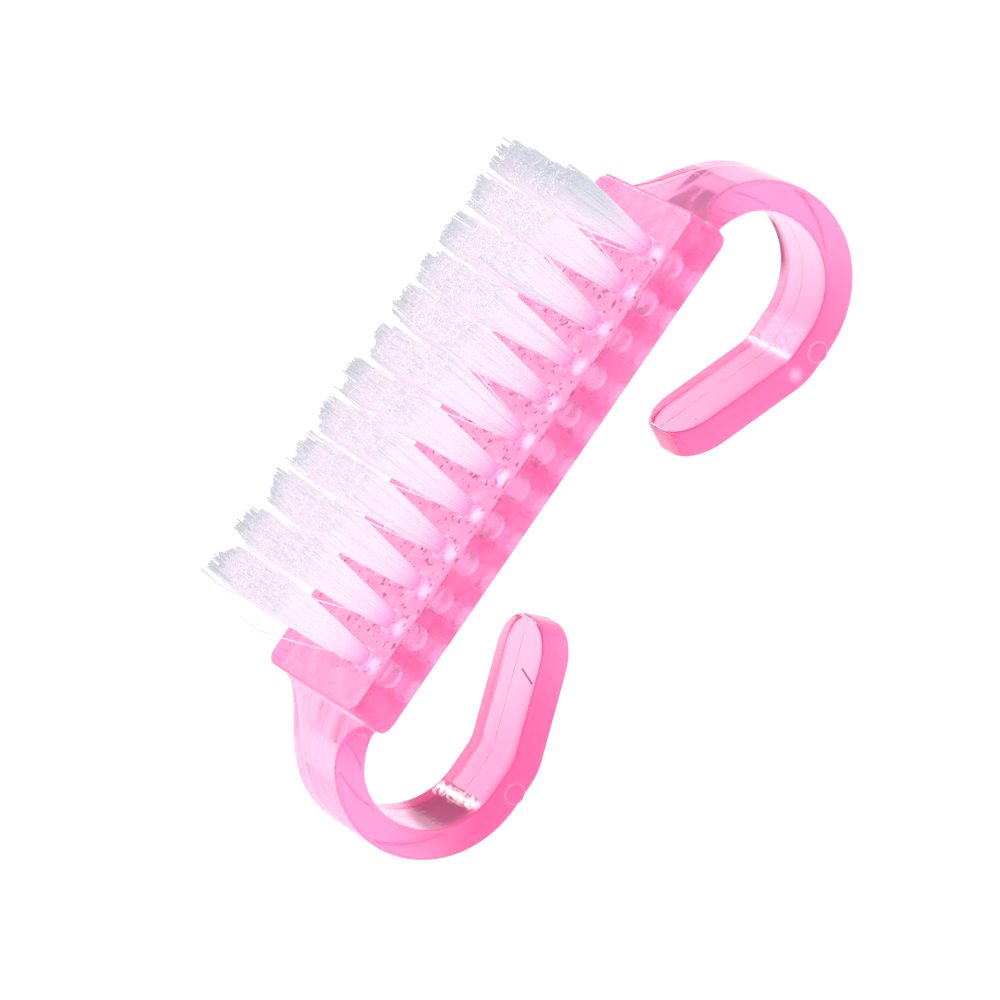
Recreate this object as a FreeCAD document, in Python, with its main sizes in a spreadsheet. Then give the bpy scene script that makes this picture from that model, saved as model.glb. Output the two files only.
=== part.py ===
"""Small finger-grip nail brush, in millimetres.

A flat moulded bar carries tufts of nylon filament on its face. A C-shaped finger hook leaves each end of
the bar and curls round to its back. The brush stands on the lowest curves of its two hooks, bristles up:
X runs along the bar, Y across it, and Z = 0 is the surface that the hooks stand on.
"""
import FreeCAD, Part
import os
import Sketcher

DRIVING_SIZES = (
    ("bar_length", 49.5, "bar, end to end"),
    ("bar_width", 17.0, "bar, side to side"),
    ("bar_thickness", 3.75, "bar, back to face"),
    ("bar_corner_radius", 1.2, "upright corners of the bar"),
    ("bar_edge_radius", 0.35, "rounding of the bar's face and back edges"),
    ("hook_radius", 9.35, "outside radius of a hook"),
    ("root_rise", 1.61, "back of the bar up to a hook's outer skin, at the end of the bar"),
    ("root_run", 0.3, "how far a root runs on inside the bar, past the bar's round corners"),
    ("root_inset", 0.25, "side of the bar in to the side of a hook's root"),
    ("hook_wall", 2.6, "thickness of a hook strip"),
    ("hook_width", 8.3, "width of a hook strip"),
    ("hook_inset", 1.6, "centre of a hook, in from the end of the bar"),
    ("hook_flat", 3.35, "centre of a hook to the corner where its arm turns up"),
    ("hook_edge_radius", 0.36, "rounding of a hook's long edges"),
    ("arm_angle", 22.5, "rise of the arm, degrees"),
    ("arm_length", 12.3, "arm, from its corner to its tip"),
    ("arm_bend_radius", 6.0, "outside radius where the arm turns up"),
    ("tip_flat", 1.6, "straight end left between the round corners of the tongue-shaped tip"),
    ("flare_reach_share", 0.935, "reach of the flared root, over its room inside the hook"),
    ("boss_radius", 0.88, "round moulding pad on the side of a hook"),
    ("boss_height", 0.3, "how far the pad stands out"),
    ("boss_depth", 0.9, "how far the pad runs into the hook"),
    ("boss_inset", 0.85, "centre of the pad, in from the centre of its hook"),
    ("boss_rise", 0.95, "centre of the pad above the standing surface"),
    ("column_count", 12, "tufts along the bar"),
    ("row_count", 4, "tufts across the bar"),
    ("end_margin", 4.4, "end of the bar to the first column of tufts"),
    ("side_margin", 3.925, "side of the bar to the first row of tufts"),
    ("hole_radius", 0.9, "blind tuft hole"),
    ("hole_floor", 0.7, "plastic left under a tuft hole"),
    ("hole_round", 0.35, "rounding at the floor of a hole"),
    ("anchor_bite", 0.15, "how far a staple anchor cuts into the wall of its hole, each side"),
    ("anchor_height", 1.0, "staple anchor, top to bottom"),
    ("anchor_thickness", 0.3, "staple anchor, sheet thickness"),
    ("anchor_rise", 0.4, "bottom of the anchor above the floor of its hole"),
    ("tuft_height", 11.2, "free length of the bristles above the face"),
    ("tuft_gap", 0.3, "gap between neighbouring tufts where they are widest"),
    ("tuft_lean", 0.35, "how far the tips of the outer rows lean outwards"),
    ("tuft_clearance", 0.05, "tuft to the wall and floor of its hole"),
    ("slit_clearance", 0.02, "anchor to its slit and to the fold of the tuft"),
    ("overrun", 1.0, "how far a cut runs past what it cuts"),
)

# The free end of a tuft from its root up: share of its height, share of its spread.
TUFT_RING_SHARES = ((0.0, 0.0), (0.3, 0.6), (0.6, 0.94), (0.9, 1.0), (1.0, 0.72))
TUFT_CORNER_SHARE = 0.9

# How near a measured place has to be to a wanted one, in millimetres, and a direction's share to zero.
PLACE_TOLERANCE = 0.001
SLOPE_TOLERANCE = 0.01
JOINED_VOLUME_SHARE = 0.9

doc = FreeCAD.newDocument("NailBrush")
sheet = doc.addObject("Spreadsheet::Sheet", "Sizes")
for line, (alias, size, meaning) in enumerate(DRIVING_SIZES, start=1):
    sheet.set(f"A{line}", meaning)
    sheet.set(f"B{line}", str(size))
    sheet.setAlias(f"B{line}", alias)
doc.recompute()


def cell(alias):
    """The expression that reads one cell of the sheet."""
    return f"{sheet.Name}.{alias}"


# Heights and places that several pieces share, as expressions on the sheet.
BAR_HALF = f"{cell('bar_length')} / 2"
HOOK_X = f"({BAR_HALF} - {cell('hook_inset')})"
HOOK_END_X = f"({HOOK_X} + {cell('hook_radius')})"
ROOT_TOP_Z = f"({cell('hook_radius')} + sqrt({cell('hook_radius')} ^ 2 - {cell('hook_inset')} ^ 2))"
BACK_Z = f"({ROOT_TOP_Z} - {cell('root_rise')})"
FACE_Z = f"({BACK_Z} + {cell('bar_thickness')})"
INNER_RADIUS = f"({cell('hook_radius')} - {cell('hook_wall')})"
STRIP_HALF = f"({cell('hook_width')} / 2)"
ROOT_HALF = f"({cell('bar_width')} / 2 - {cell('root_inset')})"
CORNER_OFFSET = f"({cell('bar_corner_radius')} - {cell('root_inset')})"
CORNER_REACH = f"({cell('bar_corner_radius')} - sqrt({cell('bar_corner_radius')} ^ 2 - {CORNER_OFFSET} ^ 2))"
ROOT_DEPTH = f"({CORNER_REACH} + {cell('root_run')})"
ROOT_X = f"({BAR_HALF} - {ROOT_DEPTH})"
COLUMN_SPAN = f"({cell('bar_length')} - 2 * {cell('end_margin')})"
ROW_SPAN = f"({cell('bar_width')} - 2 * {cell('side_margin')})"
COLUMN_PITCH = f"({COLUMN_SPAN} / ({cell('column_count')} - 1))"
ROW_PITCH = f"({ROW_SPAN} / ({cell('row_count')} - 1))"
FIRST_COLUMN_X = f"(-{COLUMN_SPAN} / 2)"
FIRST_ROW_Y = f"(-{ROW_SPAN} / 2)"
HOLE_DEPTH = f"({cell('bar_thickness')} - {cell('hole_floor')})"
HOLE_FLOOR_Z = f"({BACK_Z} + {cell('hole_floor')})"
ANCHOR_BOTTOM_Z = f"({HOLE_FLOOR_Z} + {cell('anchor_rise')})"
ANCHOR_WIDTH = f"(2 * ({cell('hole_radius')} + {cell('anchor_bite')}))"
SLIT_WIDTH = f"({ANCHOR_WIDTH} + 2 * {cell('slit_clearance')})"
SLIT_THICKNESS = f"({cell('anchor_thickness')} + 2 * {cell('slit_clearance')})"


def new_body(label):
    body = doc.addObject("PartDesign::Body", label)
    body.Label = label
    return body


def new_sketch(body, name, plane_role, offset=None):
    """A sketch on one of the body's own origin planes, shifted along the plane's normal if asked."""
    sketch = body.newObject("Sketcher::SketchObject", name)
    plane = next(item for item in body.Origin.OriginFeatures if item.Role == plane_role)
    sketch.AttachmentSupport = (plane, [""])
    sketch.MapMode = "FlatFace"
    if offset:
        sketch.setExpression("AttachmentOffset.Base.z", offset)
    return sketch


def value(sketch, expression):
    """What an expression comes to now, as a plain number."""
    result = sketch.evalExpression(expression)
    return getattr(result, "Value", result)


def tie(sketch, kind, expression, *where):
    """Add one dimension to a sketch and bind it to an expression."""
    index = sketch.addConstraint(Sketcher.Constraint(kind, *where, value(sketch, expression)))
    sketch.setExpression(f"Constraints[{index}]", expression)


def arc_centre(start, end, radius, turn):
    """The centre of the shorter arc from start to end, turning left (+1) or right (-1)."""
    chord = end - start
    reach = max(radius ** 2 - (chord.Length / 2) ** 2, 0) ** 0.5
    across = FreeCAD.Vector(-chord.y, chord.x, 0).normalize()
    return (start + end) / 2 + across * reach * turn


def draw_outline(sketch, start, steps):
    """Draw a closed outline of lines and arcs, and tie each corner and radius to its expression.

    A step is (x, y) for a line to that corner, or (x, y, radius, turn) for an arc to it.
    """
    corners = [start] + [step[:2] for step in steps]
    points = [FreeCAD.Vector(value(sketch, x), value(sketch, y), 0) for x, y in corners]
    first = sketch.GeometryCount
    ends = []
    for number, step in enumerate(steps):
        before, after = points[number], points[number + 1]
        if len(step) == 2:
            sketch.addGeometry(Part.LineSegment(before, after), False)
            ends.append((1, 2))
            continue
        radius, turn = step[2:]
        centre = arc_centre(before, after, value(sketch, radius), turn)
        circle = Part.Circle(centre, FreeCAD.Vector(0, 0, 1), value(sketch, radius))
        low, high = (before, after) if turn > 0 else (after, before)
        sketch.addGeometry(Part.ArcOfCircle(circle, circle.parameter(low), circle.parameter(high)), False)
        ends.append((1, 2) if turn > 0 else (2, 1))
    for number, step in enumerate(steps):
        piece = first + number
        following = (number + 1) % len(steps)
        sketch.addConstraint(
            Sketcher.Constraint("Coincident", piece, ends[number][1], first + following, ends[following][0])
        )
        tie(sketch, "DistanceX", step[0], -1, 1, piece, ends[number][1])
        tie(sketch, "DistanceY", step[1], -1, 1, piece, ends[number][1])
        if len(step) > 2:
            tie(sketch, "Radius", step[2], piece)


def draw_rectangle(sketch, low_x, low_y, high_x, high_y):
    draw_outline(sketch, (low_x, low_y), [(high_x, low_y), (high_x, high_y), (low_x, high_y), (low_x, low_y)])


def draw_circle(sketch, x, y, radius):
    centre = FreeCAD.Vector(value(sketch, x), value(sketch, y), 0)
    piece = sketch.addGeometry(Part.Circle(centre, FreeCAD.Vector(0, 0, 1), value(sketch, radius)), False)
    tie(sketch, "DistanceX", x, -1, 1, piece, 3)
    tie(sketch, "DistanceY", y, -1, 1, piece, 3)
    tie(sketch, "Radius", radius, piece)


def add_feature(body, kind, name, sketch, length, reverse=False, symmetric=False):
    """A Pad or a Pocket of a sketch, as long as the expression says."""
    feature = body.newObject(f"PartDesign::{kind}", name)
    feature.Profile = sketch
    feature.SideType = "Symmetric" if symmetric else "One side"
    feature.Reversed = reverse
    feature.setExpression("Length", length)
    doc.recompute()
    return feature


def volume_of(feature):
    return feature.Shape.Volume


def check_cut(before, feature):
    """Stop where a cut has taken nothing away."""
    if not volume_of(feature) < volume_of(before):
        raise RuntimeError(f"{feature.Label} cut nothing")
    return feature


def add_fillet(body, name, base, radius, wanted):
    """Round the edges of base that wanted() picks."""
    names = [f"Edge{n}" for n, edge in enumerate(base.Shape.Edges, start=1) if wanted(edge)]
    if not names:
        raise RuntimeError(f"{name} found no edge")
    fillet = body.newObject("PartDesign::Fillet", name)
    fillet.Base = (base, names)
    fillet.setExpression("Radius", radius)
    doc.recompute()
    return fillet


def mirrored(expression, side):
    """The expression on the +X side, or its mirror image on the -X side."""
    return expression if side > 0 else f"-({expression})"


def draw_hook(sketch, side):
    """Side view of one hook: root in the bar, outer curve, arm, tip, and back along the inside."""
    angle = f"({cell('arm_angle')} * 1deg)"
    outer, inner, wall = cell("hook_radius"), INNER_RADIUS, cell("hook_wall")
    centre_z = cell("hook_radius")
    bend_outer = cell("arm_bend_radius")
    bend_inner = f"({bend_outer} - {wall})"
    corner_x = f"({HOOK_X} - {cell('hook_flat')})"
    inner_corner_x = f"({corner_x} + {wall} * tan({angle} / 2))"
    back = f"({bend_outer} * tan({angle} / 2))"
    inner_back = f"({bend_inner} * tan({angle} / 2))"
    tip_x = f"({corner_x} - {cell('arm_length')} * cos({angle}))"
    tip_z = f"({cell('arm_length')} * sin({angle}))"
    rise = f"({BACK_Z} - {centre_z})"
    reach = f"sqrt({cell('hook_inset')} ^ 2 + {rise} ^ 2)"
    tangent = f"(atan2({rise}; {cell('hook_inset')}) - acos({inner} / {reach}))"
    start = (ROOT_X, f"{centre_z} + sqrt({outer} ^ 2 - ({cell('hook_inset')} - {ROOT_DEPTH}) ^ 2)")
    turn = -side
    steps = [
        (HOOK_END_X, centre_z, outer, turn),
        (HOOK_X, "0", outer, turn),
        (f"{corner_x} + {back}", "0"),
        (f"{corner_x} - {back} * cos({angle})", f"{back} * sin({angle})", bend_outer, turn),
        (tip_x, tip_z),
        (f"{tip_x} + {wall} * sin({angle})", f"{tip_z} + {wall} * cos({angle})"),
        (f"{inner_corner_x} - {inner_back} * cos({angle})", f"{wall} + {inner_back} * sin({angle})"),
        (f"{inner_corner_x} + {inner_back}", wall, bend_inner, -turn),
        (HOOK_X, wall),
        (f"{HOOK_X} + {inner}", centre_z, inner, -turn),
        (f"{HOOK_X} + {inner} * cos({tangent})", f"{centre_z} + {inner} * sin({tangent})", inner, -turn),
        (ROOT_X, f"{BACK_Z} + {ROOT_DEPTH} / tan({tangent})"),
        start,
    ]
    placed = [(mirrored(step[0], side),) + step[1:] for step in steps]
    draw_outline(sketch, (mirrored(start[0], side), start[1]), placed)


def build_hooks():
    """Both finger hooks with their flared roots, tongue tips and moulding pads."""
    body = new_body("hook_pair")
    profile = new_sketch(body, "HookSideView", "XZ_Plane")
    for side in (1, -1):
        draw_hook(profile, side)

    over = cell("overrun")
    reach = f"(({INNER_RADIUS} - {cell('hook_inset')}) * {cell('flare_reach_share')})"
    step = f"({ROOT_HALF} - {STRIP_HALF})"
    flare = f"(({reach} ^ 2 + {step} ^ 2) / (2 * {step}))"
    flare_x = f"({BAR_HALF} + {reach})"
    pad_y = f"({ROOT_HALF} + {over})"
    outside_x, outside_y = f"({HOOK_END_X} + {over})", f"({pad_y} + {over})"
    pad = add_feature(body, "Pad", "HookStrip", profile, f"2 * {pad_y}", symmetric=True)

    flanks = new_sketch(body, "RootPlanView", "XY_Plane", cell("hook_radius"))
    for side in (1, -1):
        for half in (1, -1):
            inside_x = f"{ROOT_X} - {over}"
            outline = [
                (BAR_HALF, ROOT_HALF),
                (flare_x, STRIP_HALF, flare, side * half),
                (outside_x, STRIP_HALF),
                (outside_x, outside_y),
                (inside_x, outside_y),
                (inside_x, ROOT_HALF),
            ]
            placed = [(mirrored(s[0], side), mirrored(s[1], half)) + s[2:] for s in outline]
            draw_outline(flanks, placed[-1][:2], placed)
    rise = f"{cell('hook_radius')} + {over}"
    root_cut = check_cut(pad, add_feature(body, "Pocket", "RootFlanks", flanks, rise, reverse=True))

    strips = new_sketch(body, "StripPlanView", "XY_Plane", cell("hook_radius"))
    for half in (1, -1):
        low, high = mirrored(STRIP_HALF, half), mirrored(outside_y, half)
        draw_rectangle(strips, f"-{outside_x}", low, outside_x, high)
    strip_cut = check_cut(root_cut, add_feature(body, "Pocket", "StripFlanks", strips, rise))

    wall = value(profile, cell("hook_wall"))
    tip_x = value(profile, HOOK_X) - value(profile, cell("hook_radius"))

    def at_tip(edge):
        """True on the short edges through the strip's thickness at the end of an arm."""
        through = abs(edge.tangentAt(edge.FirstParameter).y) < SLOPE_TOLERANCE
        return through and abs(edge.Length - wall) < PLACE_TOLERANCE and abs(edge.CenterOfMass.x) < tip_x

    tip_radius = f"({STRIP_HALF} - {cell('tip_flat')} / 2)"
    tips = add_fillet(body, "TongueTips", strip_cut, tip_radius, at_tip)

    root_end = value(profile, ROOT_X)
    middle_height = value(profile, cell("hook_radius"))
    end_area = wall * value(profile, cell("hook_width"))

    def is_flank(face):
        """True on the sides of the strip and round its tip, false on its outer and inner skins."""
        if isinstance(face.Surface, Part.Cylinder):
            return abs(face.Surface.Axis.y) < SLOPE_TOLERANCE
        at_side = abs(face.normalAt(0, 0).y) > 1 - SLOPE_TOLERANCE
        return at_side or face.Area < end_area and abs(face.CenterOfMass.x) < tip_x

    def along_strip(edge):
        """True on the long edges of a hook, apart from those at the end of its root."""
        flanks = [is_flank(face) for face in tips.Shape.ancestorsOfType(edge, Part.Face)]
        at_root = abs(edge.CenterOfMass.x) < root_end + PLACE_TOLERANCE
        return sorted(flanks) == [False, True] and not (at_root and edge.CenterOfMass.z > middle_height)

    add_fillet(body, "SoftEdges", tips, cell("hook_edge_radius"), along_strip)

    bosses = new_sketch(body, "BossSideView", "XZ_Plane", f"{STRIP_HALF} - {cell('boss_depth')}")
    for side in (1, -1):
        boss_x = mirrored(f"({HOOK_X} - {cell('boss_inset')})", side)
        draw_circle(bosses, boss_x, cell("boss_rise"), cell("boss_radius"))
    add_feature(body, "Pad", "Bosses", bosses, f"{cell('boss_depth')} + {cell('boss_height')}")
    return body


def build_moulding(hooks):
    """The moulded body: bar with rounded corners, the hooks fused to its ends, tuft holes and slits."""
    body = new_body("moulded_body")
    plan = new_sketch(body, "BarPlanView", "XY_Plane", BACK_Z)
    corner = cell("bar_corner_radius")
    end_x, side_y = BAR_HALF, f"{cell('bar_width')} / 2"
    short_x, short_y = f"({end_x} - {corner})", f"({side_y} - {corner})"
    start = (f"-{short_x}", f"-({side_y})")
    outline = [
        (short_x, f"-({side_y})"),
        (end_x, f"-{short_y}", corner, 1),
        (end_x, short_y),
        (short_x, side_y, corner, 1),
        (f"-{short_x}", side_y),
        (f"-({end_x})", short_y, corner, 1),
        (f"-({end_x})", f"-{short_y}"),
        start + (corner, 1),
    ]
    draw_outline(plan, start, outline)
    bar = add_feature(body, "Pad", "Bar", plan, cell("bar_thickness"))
    face_z = value(plan, FACE_Z)
    face_edges = add_fillet(
        body, "FaceEdges", bar, cell("bar_edge_radius"),
        lambda edge: edge.BoundBox.ZMin > face_z - PLACE_TOLERANCE,
    )
    fused = body.newObject("PartDesign::Boolean", "HooksOnBar")
    fused.Type = "Fuse"
    fused.addObject(hooks)
    doc.recompute()
    if not volume_of(fused) > volume_of(face_edges) + hooks.Shape.Volume * JOINED_VOLUME_SHARE:
        raise RuntimeError("the hooks did not join the bar")

    hole = new_sketch(body, "HolePlanView", "XY_Plane", FACE_Z)
    draw_circle(hole, FIRST_COLUMN_X, FIRST_ROW_Y, cell("hole_radius"))
    hole_cut = check_cut(fused, add_feature(body, "Pocket", "TuftHole", hole, HOLE_DEPTH))

    slit = new_sketch(body, "SlitPlanView", "XY_Plane", FACE_Z)
    half_width, half_thickness = f"{SLIT_WIDTH} / 2", f"{SLIT_THICKNESS} / 2"
    draw_rectangle(
        slit,
        f"{FIRST_COLUMN_X} - {half_width}", f"{FIRST_ROW_Y} - {half_thickness}",
        f"{FIRST_COLUMN_X} + {half_width}", f"{FIRST_ROW_Y} + {half_thickness}",
    )
    slit_depth = f"{HOLE_DEPTH} - {cell('anchor_rise')} + {cell('slit_clearance')}"
    slit_cut = check_cut(hole_cut, add_feature(body, "Pocket", "AnchorSlit", slit, slit_depth))

    grid = body.newObject("PartDesign::LinearPattern", "HoleGrid")
    grid.Originals = [hole_cut, slit_cut]
    grid.Direction = (hole, ["H_Axis"])
    grid.Direction2 = (hole, ["V_Axis"])
    grid.Mode = grid.Mode2 = "Extent"
    grid.setExpression("Length", COLUMN_SPAN)
    grid.setExpression("Length2", ROW_SPAN)
    grid.setExpression("Occurrences", cell("column_count"))
    grid.setExpression("Occurrences2", cell("row_count"))
    body.Tip = grid
    doc.recompute()
    check_cut(slit_cut, grid)

    floor_z = value(hole, HOLE_FLOOR_Z)
    add_fillet(
        body, "HoleFloors", grid, cell("hole_round"),
        lambda edge: edge.BoundBox.ZMax < floor_z + PLACE_TOLERANCE and edge.Closed,
    )
    return body


def draw_ring(sketch, centre_y, half_x, half_y):
    """A rectangle with large round corners, the section that close tufts press each other into."""
    corner = f"({TUFT_CORNER_SHARE} * min({half_x}; {half_y}))"
    flat_x, flat_y = f"({half_x} - {corner})", f"({half_y} - {corner})"
    start = (f"-{flat_x}", f"{centre_y} - {half_y}")
    outline = [
        (flat_x, f"{centre_y} - {half_y}"),
        (half_x, f"{centre_y} - {flat_y}", corner, 1),
        (half_x, f"{centre_y} + {flat_y}"),
        (flat_x, f"{centre_y} + {half_y}", corner, 1),
        (f"-{flat_x}", f"{centre_y} + {half_y}"),
        (f"-{half_x}", f"{centre_y} + {flat_y}", corner, 1),
        (f"-{half_x}", f"{centre_y} - {flat_y}"),
        start + (corner, 1),
    ]
    draw_outline(sketch, start, outline)


def add_free_end(body, row, root_radius):
    """The bristles above the face: they spread, lean outwards in the outer rows and end in a low dome."""
    row_share = f"(2 * {row} / ({cell('row_count')} - 1) - 1)"
    rings = []
    for number, (height_share, spread_share) in enumerate(TUFT_RING_SHARES, start=1):
        ring = new_sketch(body, f"Ring{number}", "XY_Plane", f"{height_share} * {cell('tuft_height')}")
        halves = [
            f"({root_radius} + {spread_share} * (({pitch} - {cell('tuft_gap')}) / 2 - {root_radius}))"
            for pitch in (COLUMN_PITCH, ROW_PITCH)
        ]
        draw_ring(ring, f"{row_share} * {height_share ** 2} * {cell('tuft_lean')}", *halves)
        rings.append(ring)
    free_end = body.newObject("PartDesign::AdditiveLoft", "FreeEnd")
    free_end.Profile = rings[0]
    free_end.Sections = rings[1:]
    doc.recompute()
    return free_end


def build_tuft(label, column, row):
    """One tuft: a folded root that fills its hole round the anchor, and a free end that spreads."""
    body = new_body(label)
    side = new_sketch(body, "HalfSideView", "XZ_Plane")
    root_radius = f"({cell('hole_radius')} - {cell('tuft_clearance')})"
    foot_round = f"({cell('hole_round')} - {cell('tuft_clearance')})"
    foot_z = f"({cell('tuft_clearance')} - {HOLE_DEPTH})"
    outline = [
        (f"{root_radius} - {foot_round}", foot_z),
        (root_radius, f"{foot_z} + {foot_round}", foot_round, 1),
        (root_radius, "0"),
        ("0", "0"),
        ("0", foot_z),
    ]
    draw_outline(side, ("0", foot_z), outline)
    root = body.newObject("PartDesign::Revolution", "Root")
    root.Profile = side
    root.ReferenceAxis = (side, ["V_Axis"])
    doc.recompute()
    free_end = add_free_end(body, row, root_radius)

    fold = new_sketch(body, "FoldSideView", "XZ_Plane")
    reach = f"({cell('hole_radius')} + {cell('overrun')})"
    gap = cell("slit_clearance")
    low = f"({cell('anchor_rise')} - {HOLE_DEPTH} - {gap})"
    high = f"({cell('anchor_rise')} + {cell('anchor_height')} - {HOLE_DEPTH} + {gap})"
    draw_rectangle(fold, f"-{reach}", low, reach, high)
    check_cut(free_end, add_feature(body, "Pocket", "Fold", fold, SLIT_THICKNESS, symmetric=True))

    body.setExpression("Placement.Base.x", f"{FIRST_COLUMN_X} + {column} * {COLUMN_PITCH}")
    body.setExpression("Placement.Base.y", f"{FIRST_ROW_Y} + {row} * {ROW_PITCH}")
    body.setExpression("Placement.Base.z", FACE_Z)
    return body


def build_anchor_row(label, row):
    """The flat metal anchors of one row, each lying along the bar across the foot of its hole."""
    body = new_body(label)
    plan = new_sketch(body, "AnchorPlanView", "XY_Plane")
    half_width, half_thickness = f"{ANCHOR_WIDTH} / 2", f"{cell('anchor_thickness')} / 2"
    draw_rectangle(
        plan,
        f"{FIRST_COLUMN_X} - {half_width}", f"-{half_thickness}",
        f"{FIRST_COLUMN_X} + {half_width}", half_thickness,
    )
    anchor = add_feature(body, "Pad", "Anchor", plan, cell("anchor_height"))
    repeated = body.newObject("PartDesign::LinearPattern", "AnchorRow")
    repeated.Originals = [anchor]
    repeated.Direction = (plan, ["H_Axis"])
    repeated.Mode = "Extent"
    repeated.setExpression("Length", COLUMN_SPAN)
    repeated.setExpression("Occurrences", cell("column_count"))
    body.Tip = repeated
    body.setExpression("Placement.Base.y", f"{FIRST_ROW_Y} + {row} * {ROW_PITCH}")
    body.setExpression("Placement.Base.z", ANCHOR_BOTTOM_Z)
    return body


def build_all():
    columns = range(int(sheet.get("column_count")))
    rows = range(int(sheet.get("row_count")))
    parts = [build_moulding(build_hooks())]
    parts += [build_anchor_row(f"anchors_row{row + 1}", row) for row in rows]
    for row in rows:
        parts += [build_tuft(f"tuft_row{row + 1}_column{column + 1:02d}", column, row) for column in columns]
    doc.recompute()
    return parts


def check_document(parts):
    """Stop where any object failed, or any sub-part is empty or not a valid solid."""
    for item in doc.Objects:
        if "Invalid" in item.State or "Error" in item.State:
            raise RuntimeError(f"{item.Label} failed: {item.State}")
    for part in parts:
        if part.Shape.isNull() or not part.Shape.isValid() or not part.Shape.Solids:
            raise RuntimeError(f"{part.Label} has no valid solid")


def write_parts(parts):
    os.makedirs("parts", exist_ok=True)
    for part in parts:
        part.Shape.exportStep(os.path.join("parts", f"{part.Label}.step"))
        print(f"{part.Label}: {len(part.Shape.Solids)} solids, {part.Shape.Volume:.2f} mm3")


sub_parts = build_all()
check_document(sub_parts)
write_parts(sub_parts)
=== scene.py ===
"""Small finger-grip nail brush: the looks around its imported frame.

One clear pink moulding carries folded nylon filaments in blind holes, each bundle held by a flat metal
anchor. The bar lies along X with its bristles up, and its near side faces -Y. The file is laid out as an
add-on whose operators build the pieces one after another.
"""
import math
import random
from collections import namedtuple

import bmesh
import bpy
from mathutils import Matrix, Vector


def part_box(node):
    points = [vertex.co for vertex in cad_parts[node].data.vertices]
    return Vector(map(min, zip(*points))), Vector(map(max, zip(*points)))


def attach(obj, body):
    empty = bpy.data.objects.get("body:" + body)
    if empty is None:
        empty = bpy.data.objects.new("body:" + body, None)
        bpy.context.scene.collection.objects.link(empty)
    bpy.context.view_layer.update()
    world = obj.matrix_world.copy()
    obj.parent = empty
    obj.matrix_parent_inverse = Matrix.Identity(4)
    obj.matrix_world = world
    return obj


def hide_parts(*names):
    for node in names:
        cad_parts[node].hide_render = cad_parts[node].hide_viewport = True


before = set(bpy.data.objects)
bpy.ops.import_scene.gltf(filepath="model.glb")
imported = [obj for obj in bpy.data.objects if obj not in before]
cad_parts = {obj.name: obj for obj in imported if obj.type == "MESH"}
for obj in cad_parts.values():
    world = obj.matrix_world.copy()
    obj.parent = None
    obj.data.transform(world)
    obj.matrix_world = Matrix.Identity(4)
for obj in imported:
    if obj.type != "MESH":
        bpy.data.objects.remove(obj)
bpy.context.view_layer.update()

bl_info = {
    "name": "Nail brush",
    "version": (1, 0, 0),
    "blender": (4, 5, 0),
    "location": "3D View > Sidebar > Nail brush",
    "description": "Builds a clear moulded nail brush with folded nylon filaments and its studio",
    "category": "Add Mesh",
}

MM = 0.001
BODY = "root"
MOULDING_NODE = "moulded_body"
ANCHOR_NODES = sorted(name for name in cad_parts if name.startswith("anchors_"))
TUFT_NODES = sorted(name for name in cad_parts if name.startswith("tuft_"))

# The bar between its back and its bristle face, the middle of each hook's curve, and what sits in the holes.
FACE_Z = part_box(MOULDING_NODE)[1].z
BAR_THICKNESS = 3.75 * MM
BACK_Z = FACE_Z - BAR_THICKNESS
BAR_END_X = 24.8 * MM
HOOK_X, HOOK_Z = 23.15 * MM, 9.35 * MM
FOOT_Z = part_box(TUFT_NODES[0])[0].z
CUT_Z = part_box(TUFT_NODES[0])[1].z
ANCHOR_LOW, ANCHOR_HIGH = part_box(ANCHOR_NODES[0])

BORE_LAYER = "bore_wall"
INNER_LAYER = "inner_skin"
OUTER_LAYER = "outer_skin"
TONE_LAYER = "strand_tone"


class MouldingSettings(bpy.types.PropertyGroup):
    tint: bpy.props.FloatVectorProperty(
        name="Plastic tint", description="Colour that light keeps as it passes through the plastic",
        subtype="COLOR", size=3, min=0, max=1, default=(0.99, 0.0, 0.6),
    )
    density: bpy.props.FloatProperty(
        name="Tint density", description="How fast the plastic colours the light, per metre",
        default=138, min=0,
    )
    roughness: bpy.props.FloatProperty(
        name="Surface roughness", description="Polish of the mould", default=0.04, min=0, max=1,
    )
    milk_colour: bpy.props.FloatVectorProperty(
        name="Milk colour", description="Colour of the haze in the hooks' arms",
        subtype="COLOR", size=3, min=0, max=1, default=(1.0, 0.17, 0.42),
    )
    milk: bpy.props.FloatProperty(
        name="Milk", description="Share of light that the haze in the plastic scatters",
        subtype="FACTOR", default=0.2, min=0, max=1,
    )


class TuftSettings(bpy.types.PropertyGroup):
    filament_radius: bpy.props.FloatProperty(
        name="Filament radius", description="Radius of one nylon filament",
        subtype="DISTANCE", unit="LENGTH", default=0.065 * MM, min=0.01 * MM,
    )
    folded_count: bpy.props.IntProperty(
        name="Folded filaments", description="Filaments folded into each hole; each one shows two free ends",
        default=62, min=4, max=90,
    )
    spread: bpy.props.FloatProperty(
        name="Spread", description="Half width of a bundle at its cut end",
        subtype="DISTANCE", unit="LENGTH", default=1.64 * MM, min=0,
    )
    depth: bpy.props.FloatProperty(
        name="Depth", description="Half depth of a bundle at its cut end, across the bar",
        subtype="DISTANCE", unit="LENGTH", default=1.45 * MM, min=0,
    )
    seed: bpy.props.IntProperty(name="Seed", description="Start of the random draws", default=7)


class StageSettings(bpy.types.PropertyGroup):
    floor_size: bpy.props.FloatProperty(
        name="Floor radius", description="Radius of the round floor",
        subtype="DISTANCE", unit="LENGTH", default=0.7, min=0.1,
    )
    strip_power: bpy.props.FloatProperty(
        name="Strip light power", description="Power of the narrow lamp behind the brush",
        subtype="POWER", default=0.5, min=0,
    )


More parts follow.
